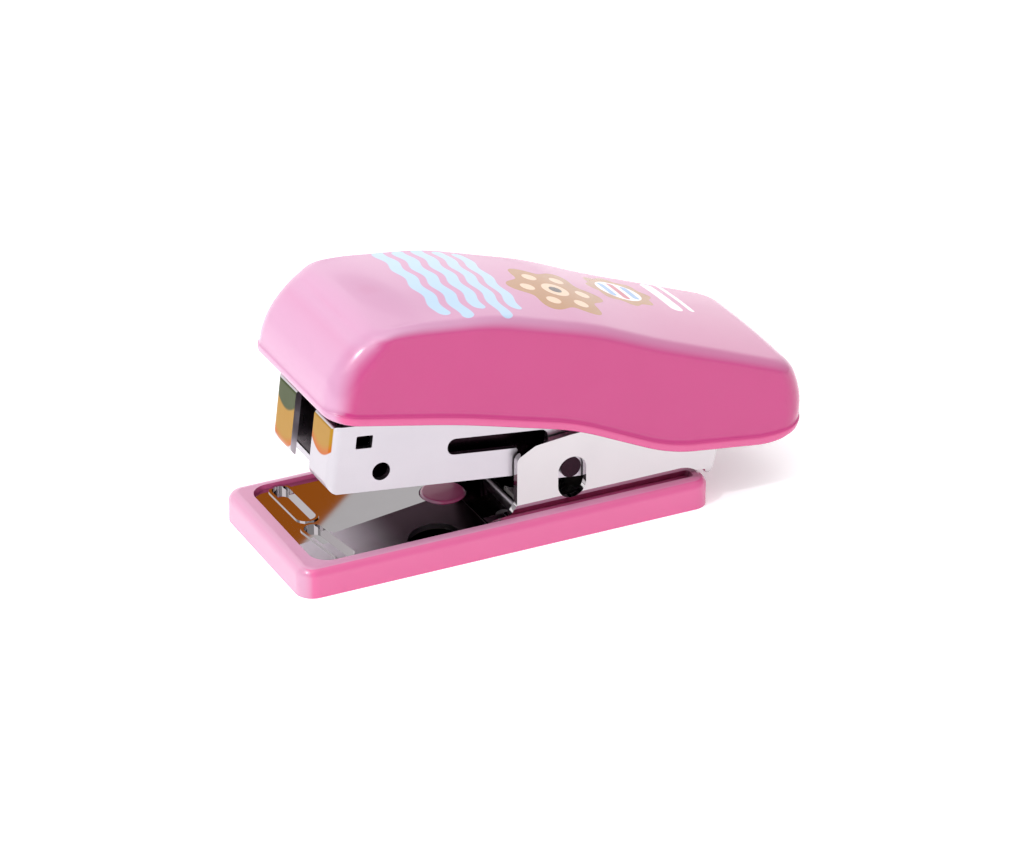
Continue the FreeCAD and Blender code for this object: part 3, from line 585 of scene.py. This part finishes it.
# Opaque pink ABS, moulded glossy: clean highlights on the rims, and a painted pale sheen on top for the
# light that falls there.
PINK_BASE = MouldedAbs("moulded_pink_abs", "#e0649b", "#dc5e96", 0.24, pale="#d19ab8", painted_sheen_share=0.9)
# The same plastic, printed: flat matt-looking inks that follow the curve of the cover. Its pink is
# deeper than the base's, painted shade for the dimmer light on the cover's sides, and it has a
# painted pale sheen on top.
PINK_COVER = PrintedAbs("moulded_pink_abs_printed", "#c5327d", "#c02d78", 0.24, pale="#cf99bb",
                        painted_sheen_share=0.95, painted_sheen_from=1.3)
# A matt white sheet that hides its own grain, so that the shadow on it is all that shows.
FLOOR = PaleSheet("matt_white_floor", "#fbfbfc", "#f8f8fa", 0.6, coat=0.0)


def on_pin(points: Array, tilt: float) -> Array:
    """Seat level points on the pin at a tilt and turn them to metres.

    A turn about Y raises the front: x' = x cos + z sin and z' = -x sin + z cos.

    Args:
        points: rows of x, y, z in millimetres from the pin.
        tilt: degrees.

    Returns:
        The points in the row frame, in metres.
    """
    turn = math.radians(tilt)
    x, y, z = points[..., 0], points[..., 1], points[..., 2]
    ahead = x * math.cos(turn) + z * math.sin(turn)
    up = z * math.cos(turn) - x * math.sin(turn)
    return np.stack([ahead, y, up], -1) * MM + np.array(HINGE)


def eased(place: Array, knots: Sequence[tuple[float, float]], reach: float) -> Array:
    """A run of straight pieces whose corners are eased.

    The height is the mean of the broken line over a window of twice the reach, which turns
    each corner into a smooth curve; the end pieces run on past the last knots.

    Args:
        place: where along X to read it.
        knots: the corners as (x, z).
        reach: half the window.

    Returns:
        The height at each place.
    """
    run_on, readings = 20.0, 21
    xs, zs = np.array(knots).T
    first = (zs[1] - zs[0]) / (xs[1] - xs[0])
    last = (zs[-1] - zs[-2]) / (xs[-1] - xs[-2])
    xs = np.concatenate([[xs[0] - run_on], xs, [xs[-1] + run_on]])
    zs = np.concatenate([[zs[0] - run_on * first], zs, [zs[-1] + run_on * last]])
    window = np.linspace(-reach, reach, readings)
    return np.interp(place[..., None] + window, xs, zs).mean(-1)


@dataclass
class Loop:
    """A walk once round a rounded rectangle, the same far half as near half.

    Each point keeps its share of the way between the corner centres and its outward normal:
    x = low + r + share_x (high - low - 2 r) + r n_x and y = share_y (half - r) + r n_y.
    """

    along: int = 90
    across: int = 16
    bend: int = 12
    share: Array = field(init=False)
    normal: Array = field(init=False)

    def __post_init__(self) -> None:
        """Lay out the far half from back to front and mirror it."""
        turn = np.arange(self.bend) / self.bend * math.pi / 2
        parts = [
            self.run((1, 0), (1, 1), (1, 0), self.across),
            np.column_stack([np.ones((self.bend, 2)), np.cos(turn), np.sin(turn)]),
            self.run((1, 1), (0, 1), (0, 1), self.along),
            np.column_stack([np.zeros(self.bend), np.ones(self.bend), -np.sin(turn), np.cos(turn)]),
            self.run((0, 1), (0, 0), (-1, 0), self.across),
            np.array([[0.0, 0.0, -1.0, 0.0]])]
        far = np.vstack(parts)
        whole = np.vstack([far, far[-2:0:-1] * np.array([1, -1, 1, -1])])
        self.share, self.normal = whole[:, :2], whole[:, 2:]

    def run(self, start: tuple[float, float], stop: tuple[float, float], normal: tuple[float, float],
            count: int) -> Array:
        """Lay out one straight side.

        Args:
            start: the first point's share.
            stop: the share that the next side starts from.
            normal: the outward normal of every point.
            count: how many points.

        Returns:
            Evenly spaced rows of share and normal.
        """
        place = np.arange(count)[:, None] / count
        shares = np.array(start) * (1 - place) + np.array(stop) * place
        return np.hstack([shares, np.tile(normal, (count, 1))])

    def faces(self, front: float, back: float, side: float) -> Array:
        """Mix three values by the way each point faces, with the normal's squared parts.

        Args:
            front: the value where the wall faces the front.
            back: the value where it faces the back.
            side: the value where it faces either side.

        Returns:
            One value for each point.
        """
        ahead = np.clip(-self.normal[:, 0], 0, 1) ** 2
        behind = np.clip(self.normal[:, 0], 0, 1) ** 2
        return ahead * front + behind * back + self.normal[:, 1] ** 2 * side

    def points(self, low: Array, high: Array, half: Array, radius: Array) -> Array:
        """Put the walk on one rectangle, by the formula above.

        Args:
            low: where the front is.
            high: where the back is.
            half: half the width.
            radius: the corners' radius.

        Returns:
            Rows of x and y.
        """
        x = low + radius + self.share[:, 0] * (high - low - 2 * radius) + radius * self.normal[:, 0]
        y = self.share[:, 1] * (half - radius) + radius * self.normal[:, 1]
        return np.column_stack([x, y])


def weld(mesh: bpy.types.Mesh, nearest: float = 2e-6) -> None:
    """Merge doubled points, face everything outwards and shade it smooth.

    Args:
        mesh: the mesh to change.
        nearest: metres within which two points are one.
    """
    work = bmesh.new()
    work.from_mesh(mesh)
    bmesh.ops.remove_doubles(work, verts=work.verts, dist=nearest)
    bmesh.ops.recalc_face_normals(work, faces=work.faces)
    work.to_mesh(mesh)
    work.free()
    mesh.polygons.foreach_set("use_smooth", np.ones(len(mesh.polygons), bool))


def closed_skin(name: str, rows: Array, plan: Array, tilt: float) -> bpy.types.Object:
    """Join rows of points, each a closed loop, into one closed smooth mesh.

    Args:
        name: the piece's name.
        rows: (row, point, 3) in millimetres; the first and last rows fold shut on a line.
        plan: what each point's plan attribute holds, in the same layout.
        tilt: degrees on the pin.

    Returns:
        The new object, with its place in its mesh.
    """
    count, around = rows.shape[:2]
    row = np.arange(count - 1)[:, None] * around
    here = np.arange(around)[None, :]
    there = (here + 1) % around
    quads = np.stack([row + here, row + there, row + around + there, row + around + here], -1)
    mesh = bpy.data.meshes.new(name)
    mesh.from_pydata(on_pin(rows, tilt).reshape(-1, 3).tolist(), [], quads.reshape(-1, 4).tolist())
    stored = mesh.attributes.new(PLAN, "FLOAT_VECTOR", "POINT")
    stored.data.foreach_set("vector", plan.reshape(-1).astype(np.float32))
    mesh.validate()
    piece = bpy.data.objects.new(name, mesh)
    bpy.context.scene.collection.objects.link(piece)
    weld(mesh)
    return piece


@dataclass
class TopCover:
    """Moulded cover: a wavy lower edge with a lip, leaning walls, a round rim and a crowned top.

    The leans are millimetres in for each millimetre up. The lip is (up, out) from the lower
    edge. The counts are the rings of the wall, the rim and the top.
    """

    x_front: float = -44.84
    x_back: float = 13.45
    half: float = 11.0
    corner: float = 3.0
    corner_least: float = 0.5
    corner_inset: float = 0.8
    corner_loss: float = 1.6
    middle_room: float = 1.0
    rim: float = 1.5
    rim_front: float = 2.6
    crown: float = 0.7
    swell_front: float = 1.3
    swell_back: float = 1.5
    swell_from: float = 0.5
    swell_height: float = 9.0
    swell_power: float = 0.8
    wall: float = 1.05
    lean_side: float = 0.08
    lean_front: float = 0.226
    lean_back: float = 0.378
    bottom: tuple[tuple[float, float], ...] = (
        (-44.84, 0.6), (-30, 1.05), (-15.5, 0.65), (-3.6, -1.85), (10.5, -0.4), (13.45, 1.5))
    bottom_ease: float = 3.0
    top: tuple[tuple[float, float], ...] = (
        (-42.6, 9.9), (-38, 11.45), (-27.5, 12.75), (-15, 12.0), (-7, 10.55), (10.3, 8.35))
    top_ease: float = 2.5
    lip: tuple[tuple[float, float], ...] = (
        (0.03, -0.5), (0.0, -0.12), (0.04, 0.06), (0.16, 0.17), (0.4, 0.2), (0.75, 0.2), (0.88, 0.16),
        (0.95, 0.07), (1.05, 0.0))
    wall_rings: int = 14
    rim_rings: int = 11
    top_rings: int = 20
    finish: Finish = PINK_COVER
    loop: Loop = field(default_factory=Loop)

    def ring(self, z: Array, inset: float, turned: Array | float = 0.0) -> Array:
        """The wall's outline at a height for each point.

        The walls lean in with height, swell out half way up by the sine of the height's share,
        and the rim takes them further in.

        Args:
            z: the height at each point.
            inset: how far inside the outer wall.
            turned: the rim's 1 - cos of the angle turned so far.

        Returns:
            Points x, y and z.
        """
        share = np.clip((z - self.swell_from) / self.swell_height, 0, 1)
        swell = np.sin(math.pi * share) ** self.swell_power
        low = self.x_front + self.lean_front * z + inset + self.rim_front * turned - self.swell_front * swell
        high = self.x_back - self.lean_back * z - inset - self.rim * turned + self.swell_back * swell
        half = self.half - self.lean_side * z - inset - self.rim * turned
        radius = self.corner - self.corner_inset * inset - self.corner_loss * turned
        radius = np.maximum(radius, self.corner_least) + 0 * z
        return np.column_stack([self.loop.points(low, high, half, radius), z])

    def crest(self, x: Array, y: Array) -> Array:
        """The top's height: its profile along X plus a crown that falls with y squared."""
        return eased(x, self.top, self.top_ease) + self.crown * (1 - (y / self.half) ** 2)

    def floor_line(self, inset: float) -> Array:
        """The height of the lower edge at each point."""
        flat = self.ring(np.zeros(len(self.loop.share)), inset)
        return eased(flat[:, 0], self.bottom, self.bottom_ease)

    def rim_start(self, inset: float, rim: Array) -> tuple[Array, Array]:
        """Find where the rim begins, by ten rounds of closing in on it.

        Each round reads the top's slope at the rim's inner edge, turns the rim until it lies
        along that slope, and lowers its start until its inner edge meets the top.

        Args:
            inset: how far inside the outer skin.
            rim: the rim's radius at each point.

        Returns:
            The height where the rim begins and the angle it turns through, at each point.
        """
        rounds, probe, guess = 10, 0.1, 9.0
        height = np.full(len(rim), guess)
        end = np.full(len(rim), math.pi / 2)
        for _ in range(rounds):
            edge = self.ring(height + rim * np.sin(end), inset, 1 - np.cos(end))
            ahead = edge[:, :2] - probe * self.loop.normal
            here = self.crest(edge[:, 0], edge[:, 1])
            rise = (self.crest(ahead[:, 0], ahead[:, 1]) - here) / probe
            end = math.pi / 2 - np.arctan(rise)
            height = here - inset - rim * np.sin(end)
        return height, end

    def skin(self, inset: float) -> list[Array]:
        """One skin from the lower edge to the middle line of the top.

        The wall rises to where the rim begins, the rim turns through an arc until it lies
        along the top, and the top runs in to the middle line.

        Args:
            inset: how far inside the outer skin.

        Returns:
            Rings of points, from the lower edge up.
        """
        outer = inset == 0
        rim = self.loop.faces(self.rim_front, self.rim, self.rim)
        height, end = self.rim_start(inset, rim)
        start = self.floor_line(inset) + (self.lip[-1][0] if outer else 0.0)
        shares = np.linspace(0, 1, self.wall_rings)[(1 if outer else 0):-1]
        rings = [self.ring(start + (height - start) * share, inset) for share in shares]
        for share in np.linspace(0, 1, self.rim_rings):
            turn = end * share
            rings.append(self.ring(height + rim * np.sin(turn), inset, 1 - np.cos(turn)))
        edge = rings[-1]
        room = self.half + self.middle_room
        middle = np.clip(edge[:, 0], self.x_front + room, self.x_back - room)
        for share in np.linspace(0, 1, self.top_rings)[1:]:
            x = edge[:, 0] + (middle - edge[:, 0]) * share
            y = edge[:, 1] * (1 - share)
            rings.append(np.stack([x, y, self.crest(x, y) - inset], 1))
        return rings

    def lip_rings(self) -> list[Array]:
        """The lower edge and the lip above it, as offsets out from the wall."""
        low = self.floor_line(0.0)
        return [self.ring(low + up, -out) for up, out in self.lip]

    def build(self) -> list[bpy.types.Object]:
        """Make the cover's shell.

        Returns:
            The one piece, riding on the cover and standing for its CAD node.
        """
        rows = np.array(self.skin(self.wall)[::-1] + self.lip_rings() + self.skin(0.0))
        plan = rows - np.array([0, 0, 1]) * self.floor_line(0.0)[None, :, None]
        piece = closed_skin("cover_shell", rows, plan, COVER_TILT)
        piece.data.materials.append(self.finish.material())
        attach(piece, "cover")
        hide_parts("top_cover")
        return [piece]


@dataclass
class CadDress:
    """Finishes for the CAD nodes that stay as they are."""

    finishes: Mapping[str, Finish] = field(default_factory=lambda: {
        "base_tray": PINK_BASE, "base_plate": CHROME, "hinge_pin": NICKEL,
        "return_spring_rivet": NICKEL, "magazine_channel": CHANNEL, "staple_rail": PAINTED_SHADE_STEEL,
        "rail_rivets": NICKEL, "guide_rod": NICKEL, "guide_rod_clip": SPRING,
        "stop_studs": PAINTED_SHADE_STEEL, "hinge_sleeve": NICKEL, "pusher": PAINTED_SHADE_STEEL, "driver_carrier": NICKEL,
        "driver_blade": PAINTED_SHADE_STEEL, "driver_rivets": NICKEL, "cover_spring": SPRING,
        "cover_spring_rivets": NICKEL})

    def build(self) -> list[bpy.types.Object]:
        """Dress each node.

        Returns:
            The dressed nodes.
        """
        made = {finish.name: finish.material() for finish in self.finishes.values()}
        dressed = []
        for name, finish in self.finishes.items():
            node = frame["nodes"][name]
            for slot in node.material_slots:
                slot.material = made[finish.name]
            dressed.append(node)
        return dressed


@dataclass
class WorkingSprings:
    """The coil that the pusher presses together, and the leaf that bends under the magazine.

    The leaf's root and tip are in metres.
    """

    run: tuple[float, float, float] = (0.992757, 0.0, -0.120137)
    pressed: float = 0.14
    leaf_root: tuple[float, float, float] = (0.0150, 0.0, 0.0031)
    leaf_tip: tuple[float, float, float] = (0.0078, 0.0, 0.0066)
    sharp_degrees: float = 35.0
    finish: Finish = SPRING

    def copy_of(self, node_name: str, name: str) -> bpy.types.Object:
        """A smooth merged copy of a CAD node, standing for it.

        Args:
            node_name: the CAD node.
            name: the piece's name.

        Returns:
            The new piece, not yet riding on a body.
        """
        node = frame["nodes"][node_name]
        mesh = node.data.copy()
        mesh.transform(node.matrix_world)
        mesh.materials.clear()
        mesh.materials.append(bpy.data.materials[self.finish.name])
        weld(mesh)
        mesh.set_sharp_from_angle(angle=math.radians(self.sharp_degrees))
        piece = bpy.data.objects.new(name, mesh)
        bpy.context.scene.collection.objects.link(piece)
        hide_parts(node_name)
        return piece

    def build(self) -> list[bpy.types.Object]:
        """Make both springs.

        Returns:
            The coil and the leaf.
        """
        coil = self.copy_of("pusher_spring", "pusher_coil")
        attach(coil, "magazine")
        places = np.empty(len(coil.data.vertices) * 3)
        coil.data.vertices.foreach_get("co", places)
        places = places.reshape(-1, 3)
        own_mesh(coil)
        leaf = self.copy_of("return_spring", "return_leaf")
        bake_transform(leaf)
        return [coil, leaf]


@dataclass(frozen=True)
class Lamp:
    """A square soft lamp aimed at the object: angles in degrees, metres and watts."""

    name: str
    azimuth: float
    elevation: float
    distance: float
    size: float
    power: float


@dataclass(frozen=True)
class SkyPatch:
    """A round patch of the surroundings that fades out between two angles off its middle."""

    toward: tuple[float, ...]
    outer: float
    inner: float

    def mask(self, tree: Tree, where: Socket) -> Node:
        """One inside the patch: a smooth step of the cosine of the angle off its middle.

        Args:
            tree: the world's node tree.
            where: the direction looked in.

        Returns:
            The node whose first output is the mask.
        """
        dot = add_node(tree, "VectorMath", [where, self.toward], operation="DOT_PRODUCT")
        ends = (math.cos(math.radians(angle)) for angle in (self.outer, self.inner))
        return add_node(tree, "MapRange", [dot.outputs["Value"], *ends], interpolation_type=SMOOTH)


def toward(azimuth: float, elevation: float) -> Array:
    """The unit vector from the object towards a place round it, from two angles in degrees."""
    a, e = math.radians(azimuth), math.radians(elevation)
    return np.array([math.sin(a) * math.cos(e), -math.cos(a) * math.cos(e), math.sin(e)])


@dataclass
class Studio:
    """Pale floor, soft lamps, pale surroundings and the camera.

    The polished plate mirrors a warm patch and a dull one that stand behind the object. The
    warm one ends on a straight edge, which is given as the line that it draws on the plate.
    """

    camera_azimuth: float = -25.737
    camera_elevation: float = 27.674
    camera_distance: float = 0.54081
    target: tuple[float, float, float] = (0.0004, 0.0, 0.010)
    lens: float = 174.66
    sensor: float = 36.0
    clip_start: float = 0.01
    shift: tuple[float, float] = (0.0397, 0.0051)
    floor_reach: float = 4.0
    lamps: tuple[Lamp, ...] = (
        Lamp("key_softbox", azimuth=-62, elevation=52, distance=0.9, size=0.8, power=2.2),
        Lamp("top_softbox", azimuth=20, elevation=82, distance=1.0, size=0.9, power=2.0),
        Lamp("corner_glint", azimuth=-70, elevation=46, distance=0.7, size=0.035, power=1.4))
    bright: SkyPatch = SkyPatch((0.1, 0.98, 0.17), outer=75, inner=20)
    brightness: tuple[float, float] = (0.55, 1.4)
    warm_angles: tuple[float, float] = (3.2, 2.6)
    warm_colour: str = "#cf7224"
    dull_angles: tuple[float, float] = (8, 5)
    dull_share: float = 0.52
    plate_line: tuple[tuple[float, float, float], ...] = ((-13.0, 3.7, 2.9), (-17.3, -0.15, 2.9))
    plate_warm_side: tuple[float, float, float] = (-22.0, 5.0, 2.9)
    edge_soft: float = 0.0004

    def camera_place(self) -> Array:
        """Where the camera stands, in metres."""
        away = toward(self.camera_azimuth, self.camera_elevation) * self.camera_distance
        return np.array(self.target) + away

    def camera(self) -> None:
        """A long lens at the three-quarter view from above."""
        data = bpy.data.cameras.new("camera")
        data.lens = self.lens
        data.sensor_width = self.sensor
        data.shift_x, data.shift_y = self.shift
        data.clip_start = self.clip_start
        made = bpy.data.objects.new("camera", data)
        made.location = self.camera_place()
        tip, turn = math.radians(90 - self.camera_elevation), math.radians(self.camera_azimuth)
        made.rotation_euler = (tip, 0.0, turn)
        bpy.context.scene.collection.objects.link(made)
        bpy.context.scene.camera = made

    def light(self, lamp: Lamp) -> None:
        """Hang one lamp and turn its face to the object.

        Args:
            lamp: the lamp to hang.
        """
        data = bpy.data.lights.new(lamp.name, "AREA")
        data.size = lamp.size
        data.energy = lamp.power
        made = bpy.data.objects.new(lamp.name, data)
        made.location = toward(lamp.azimuth, lamp.elevation) * lamp.distance
        made.rotation_euler = (math.radians(90 - lamp.elevation), 0.0, math.radians(lamp.azimuth))
        bpy.context.scene.collection.objects.link(made)

    def floor(self) -> None:
        """A wide pale floor with a faint mottle."""
        mesh = bpy.data.meshes.new("floor")
        corners = np.array([(-1, -1, 0), (1, -1, 0), (1, 1, 0), (-1, 1, 0)]) * self.floor_reach
        mesh.from_pydata(corners.tolist(), [], [(0, 1, 2, 3)])
        made = bpy.data.objects.new("floor", mesh)
        bpy.context.scene.collection.objects.link(made)
        mesh.materials.append(FLOOR.material())

    def world(self) -> None:
        """White surroundings, brighter behind the object, with the warm and the dull patch."""
        made = bpy.data.worlds.new("studio")
        bpy.context.scene.world = made
        made.use_nodes = True
        tree = made.node_tree
        tree.nodes.clear()
        add = partial(add_node, tree)
        where = add("TexCoord").outputs["Generated"]
        behind = tuple(toward(self.camera_azimuth + 180, self.camera_elevation))
        warm = add("Math", [SkyPatch(behind, *self.warm_angles).mask(tree, where),
                            self.edge(tree, where)], operation="MULTIPLY")
        low, high = self.brightness
        level = add("MapRange", {"Value": self.bright.mask(tree, where), "To Min": low, "To Max": high})
        dull = SkyPatch(behind, *self.dull_angles).mask(tree, where)
        left = add("Math", [dull, -self.dull_share, 1.0], operation="MULTIPLY_ADD")
        strength = add("Math", [level, left], operation="MULTIPLY")
        colour = add("Mix", {FACTOR: warm, UNDER: linear("#ffffff"), OVER: linear(self.warm_colour)},
                     data_type="RGBA").outputs[MIXED]
        back = add("Background", {"Color": colour, "Strength": strength})
        add("OutputWorld", {"Surface": back})

    def edge(self, tree: Tree, where: Socket) -> Node:
        """Part the surroundings along the warm patch's straight edge.

        The line across the plate and the camera fix a plane. Mirrored in the plate, that plane
        parts the surroundings in two: the dot product with its normal changes sign there.

        Args:
            tree: the world's node tree.
            where: the direction looked in.

        Returns:
            The node whose first output is one on the warm side.
        """
        mirror = np.array([1, 1, -1])
        camera = self.camera_place() / MM
        first, second = (np.array(self.plate_line) - camera) * mirror
        normal = np.cross(first, second)
        normal /= np.linalg.norm(normal)
        normal *= np.sign((np.array(self.plate_warm_side) - camera) * mirror @ normal)
        dot = add_node(tree, "VectorMath", [where, tuple(normal)], operation="DOT_PRODUCT")
        return add_node(tree, "MapRange", [dot.outputs["Value"], -self.edge_soft, self.edge_soft])

    def build(self) -> None:
        """Set up everything that isn't the object."""
        bpy.context.scene.view_settings.view_transform = "Standard"
        self.camera()
        self.floor()
        self.world()
        for lamp in self.lamps:
            self.light(lamp)


def main() -> None:
    """Build the scene in order and report each piece."""
    logging.basicConfig(level=logging.INFO, format="%(name)s: %(message)s")
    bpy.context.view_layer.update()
    Studio().build()
    for assembly in (CadDress(), WorkingSprings(), TopCover()):
        for piece in assembly.build():
            log.info("%s: %s", type(assembly).__name__, piece.name)


if __name__ == "__main__":
    main()
